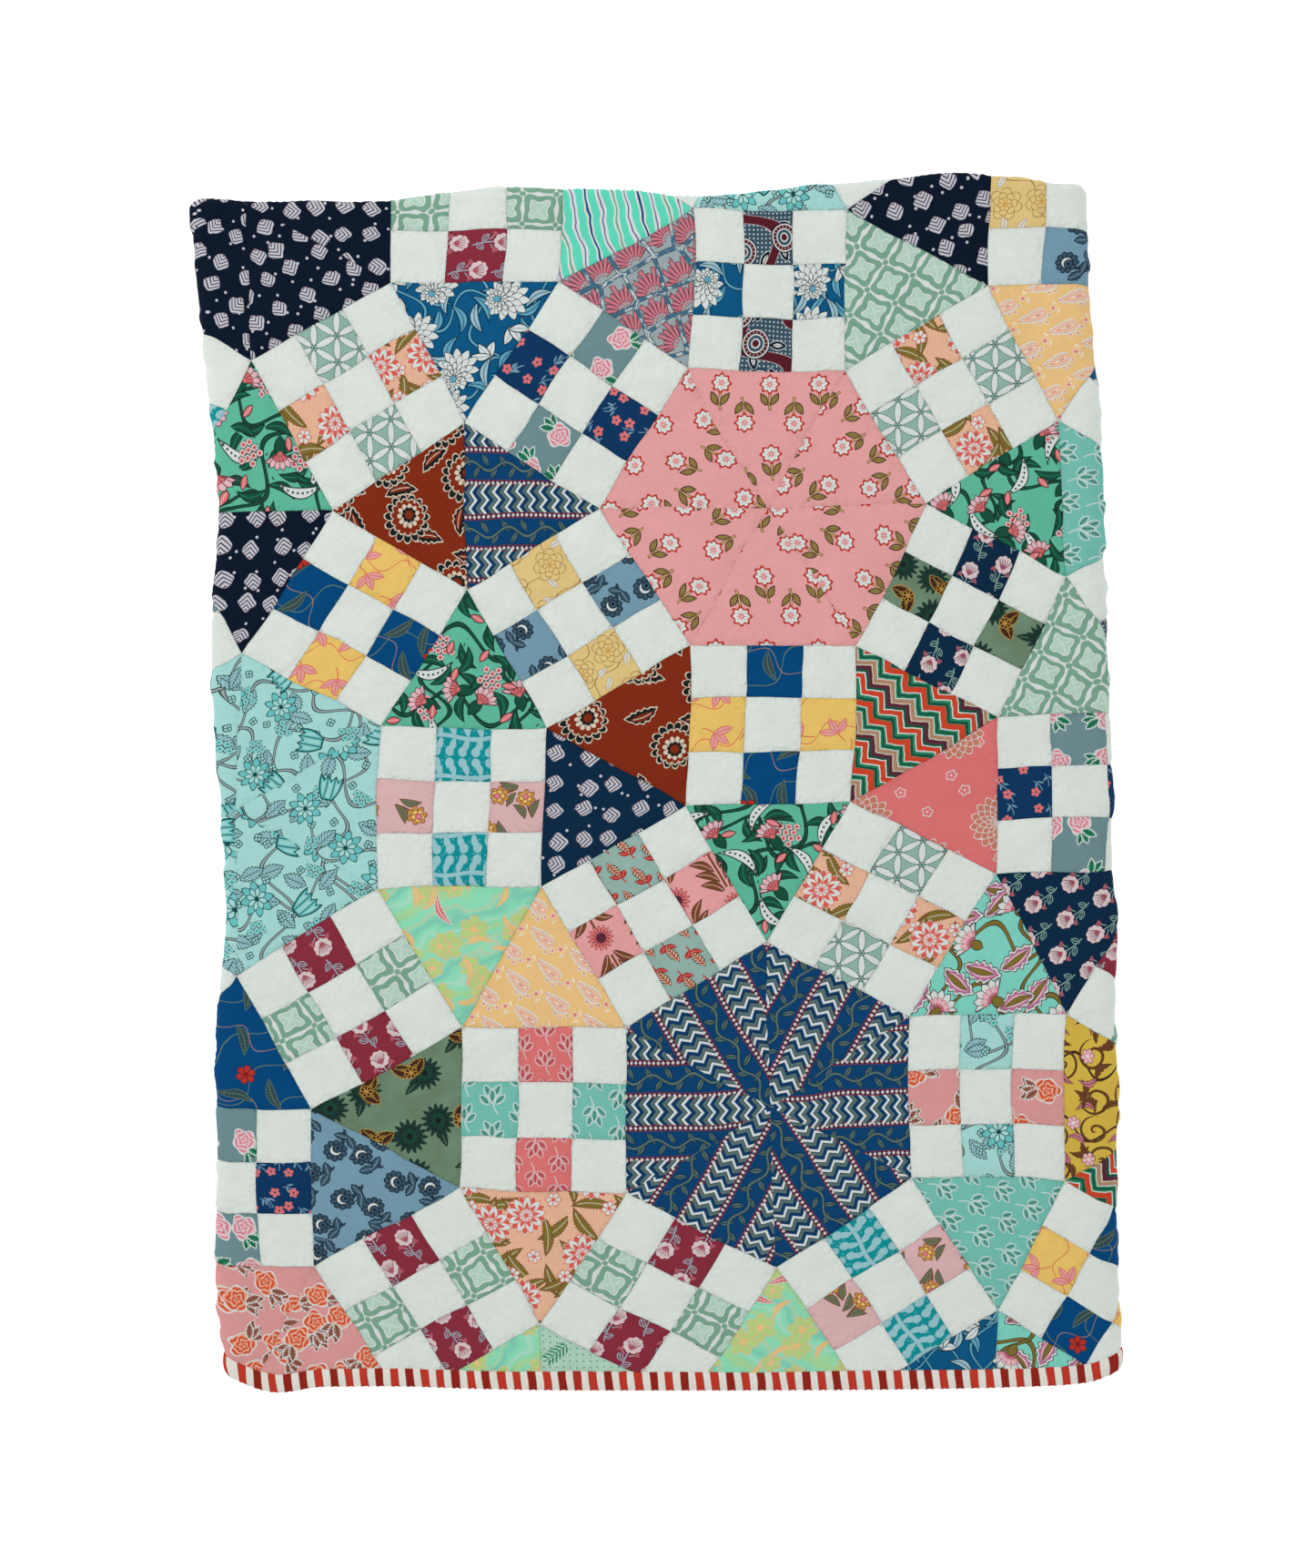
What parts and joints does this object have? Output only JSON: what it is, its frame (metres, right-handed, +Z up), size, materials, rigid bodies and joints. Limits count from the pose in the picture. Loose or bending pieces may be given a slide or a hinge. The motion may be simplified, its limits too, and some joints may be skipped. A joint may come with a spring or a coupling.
{
  "type": "folded patchwork quilt",
  "caption": "King-size cotton patchwork quilt, folded in half and then in thirds, lying flat with its front up; striped bound edge.",
  "frame": {"origin": "middle of the folded quilt's footprint, on the flat underside that rests on the surface", "axes": "+Y from the bound hem towards the top fold, +X to the right seen from above, +Z up out of the patchwork front"},
  "size_m": [0.895, 1.1689, 0.0423],
  "materials": {
    "patchwork": "matt printed cotton",
    "binding": "matt striped cotton"
  },
  "bodies": {
    "root": {"quilt_sheet": "patchwork", "binding": "binding"}
  },
  "joints": []
}
